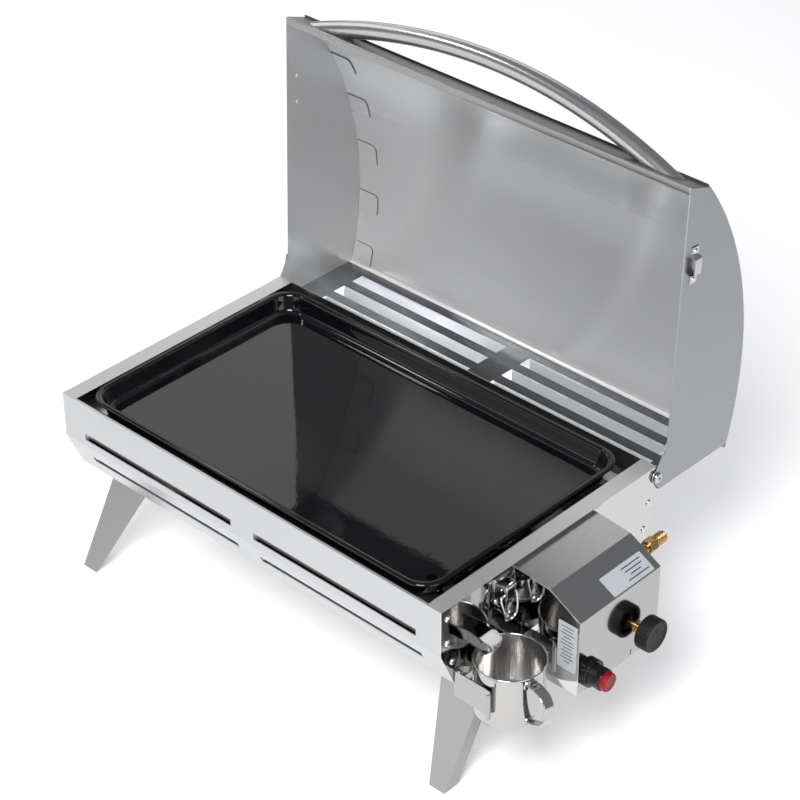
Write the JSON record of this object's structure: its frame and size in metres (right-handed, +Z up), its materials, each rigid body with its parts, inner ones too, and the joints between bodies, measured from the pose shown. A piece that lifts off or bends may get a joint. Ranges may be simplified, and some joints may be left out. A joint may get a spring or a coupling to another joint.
{
  "type": "folding camp grill",
  "caption": "Folding stainless camp grill with a lift-out enamel hotplate, hinged domed lid, fold-down legs, side gas controls and a grease mug.",
  "frame": {"origin": "centre of the bounding box at ground level, with the lid open and the legs down", "axes": "+X along the grill towards the gas controls, +Y from the front to the hinge side, +Z up"},
  "size_m": [0.6814, 0.468, 0.603],
  "materials": {
    "brushed_sheet": "fine brushed stainless sheet",
    "polished_sheet": "mirror polished stainless sheet",
    "satin_sheet": "satin stainless sheet",
    "zinc": "plated steel, dull",
    "rivet": "plain",
    "enamel": "gloss black enamel",
    "burner_iron": "matte grey",
    "brass": "turned",
    "copper_pipe": "drawn tube",
    "black_plastic": "matte black",
    "red_plastic": "glossy red",
    "ceramic": "white insulator",
    "label": "white film with plain bars",
    "washer": "black"
  },
  "bodies": {
    "frame": {"body_wrapper": "satin_sheet", "end_panel_left": "polished_sheet", "end_panel_right": "polished_sheet", "plate_support_front": "satin_sheet", "plate_support_rear": "satin_sheet", "body_rivets": "rivet", "burner": "burner_iron", "burner_bracket": "satin_sheet", "venturi_tube": "satin_sheet", "gas_jet": "brass", "gas_valve": "brass", "gas_pipe": "copper_pipe", "gas_inlet": "brass", "control_box": "polished_sheet", "warning_label": "label", "rating_label": "label", "igniter_housing": "black_plastic", "igniter_nut": "black_plastic", "igniter_electrode": "ceramic", "igniter_lead": "black_plastic", "mug_holder": "satin_sheet", "holder_rivets": "rivet", "grease_chute": "satin_sheet", "latch_base_left": "satin_sheet", "latch_base_right": "satin_sheet", "latch_rivets": "rivet", "leg_bracket_front_left": "zinc", "leg_bracket_front_right": "zinc", "leg_bracket_rear_left": "zinc", "leg_bracket_rear_right": "zinc", "leg_pins": "zinc", "hinge_screws": "zinc", "hinge_washers": "washer"},
    "lid": {"lid_skin": "brushed_sheet", "lid_cap_left": "brushed_sheet", "lid_cap_right": "brushed_sheet", "lid_handle": "brushed_sheet", "keeper_left": "satin_sheet", "keeper_right": "satin_sheet", "keeper_rivets": "rivet"},
    "hotplate": {"hotplate": "enamel"},
    "mug": {"mug": "polished_sheet", "mug_handle": "polished_sheet"},
    "leg_front_left": {"leg_front_left": "zinc"},
    "leg_front_right": {"leg_front_right": "zinc"},
    "leg_rear_left": {"leg_rear_left": "zinc"},
    "leg_rear_right": {"leg_rear_right": "zinc"},
    "latch_lever_left": {"latch_lever_left": "satin_sheet"},
    "latch_bail_left": {"latch_bail_left": "satin_sheet"},
    "latch_lever_right": {"latch_lever_right": "satin_sheet"},
    "latch_bail_right": {"latch_bail_right": "satin_sheet"},
    "valve_plug": {"valve_plug": "brass"},
    "gas_knob": {"valve_stem": "brass", "gas_knob": "black_plastic"},
    "igniter_button": {"igniter_button": "red_plastic"}
  },
  "joints": [
    {"name": "lid_hinge", "type": "hinge", "parent": "frame", "child": "lid", "pos_m": [-0.04777, 0.09696, 0.227], "axis": [-1, 0, 0], "range_deg": [-91.5, 0]},
    {"name": "plate_lift", "type": "slide", "parent": "frame", "child": "hotplate", "axis": [0, 0, 1], "range_m": [0, 0.12]},
    {"name": "mug_pull", "type": "slide", "parent": "frame", "child": "mug", "axis": [1, 0, 0], "range_m": [0, 0.1]},
    {"name": "leg_front_left_fold", "type": "hinge", "parent": "frame", "child": "leg_front_left", "pos_m": [-0.32477, -0.14536, 0.127], "axis": [1, 0, 0], "range_deg": [0, 119]},
    {"name": "leg_front_right_fold", "type": "hinge", "parent": "frame", "child": "leg_front_right", "pos_m": [0.22923, -0.14536, 0.127], "axis": [1, 0, 0], "range_deg": [0, 119]},
    {"name": "leg_rear_left_fold", "type": "hinge", "parent": "frame", "child": "leg_rear_left", "pos_m": [-0.29877, 0.00927, 0.127], "axis": [-1, 0, 0], "range_deg": [0, 119]},
    {"name": "leg_rear_right_fold", "type": "hinge", "parent": "frame", "child": "leg_rear_right", "pos_m": [0.20323, 0.00927, 0.127], "axis": [-1, 0, 0], "range_deg": [0, 119]},
    {"name": "latch_lever_left_swing", "type": "hinge", "parent": "frame", "child": "latch_lever_left", "pos_m": [-0.33227, -0.14604, 0.226], "axis": [0, 1, 0], "range_deg": [0, 140]},
    {"name": "latch_bail_left_swing", "type": "hinge", "parent": "latch_lever_left", "child": "latch_bail_left", "pos_m": [-0.33427, -0.14604, 0.218], "axis": [0, -1, 0], "range_deg": [-150, 0]},
    {"name": "latch_lever_right_swing", "type": "hinge", "parent": "frame", "child": "latch_lever_right", "pos_m": [0.23673, -0.14604, 0.226], "axis": [0, -1, 0], "range_deg": [0, 140]},
    {"name": "latch_bail_right_swing", "type": "hinge", "parent": "latch_lever_right", "child": "latch_bail_right", "pos_m": [0.23873, -0.14604, 0.218], "axis": [0, 1, 0], "range_deg": [-150, 0]},
    {"name": "valve_turn", "type": "hinge", "parent": "frame", "child": "valve_plug", "pos_m": [0.29023, -0.03304, 0.152], "axis": [-1, 0, 0], "range_deg": [0, 180]},
    {"name": "knob_push", "type": "slide", "parent": "valve_plug", "child": "gas_knob", "axis": [-1, 0, 0], "range_m": [0, 0.003], "stiffness_N_per_m": 1500},
    {"name": "igniter_push", "type": "slide", "parent": "frame", "child": "igniter_button", "axis": [-1, 0, 0], "range_m": [0, 0.005], "stiffness_N_per_m": 1200}
  ]
}
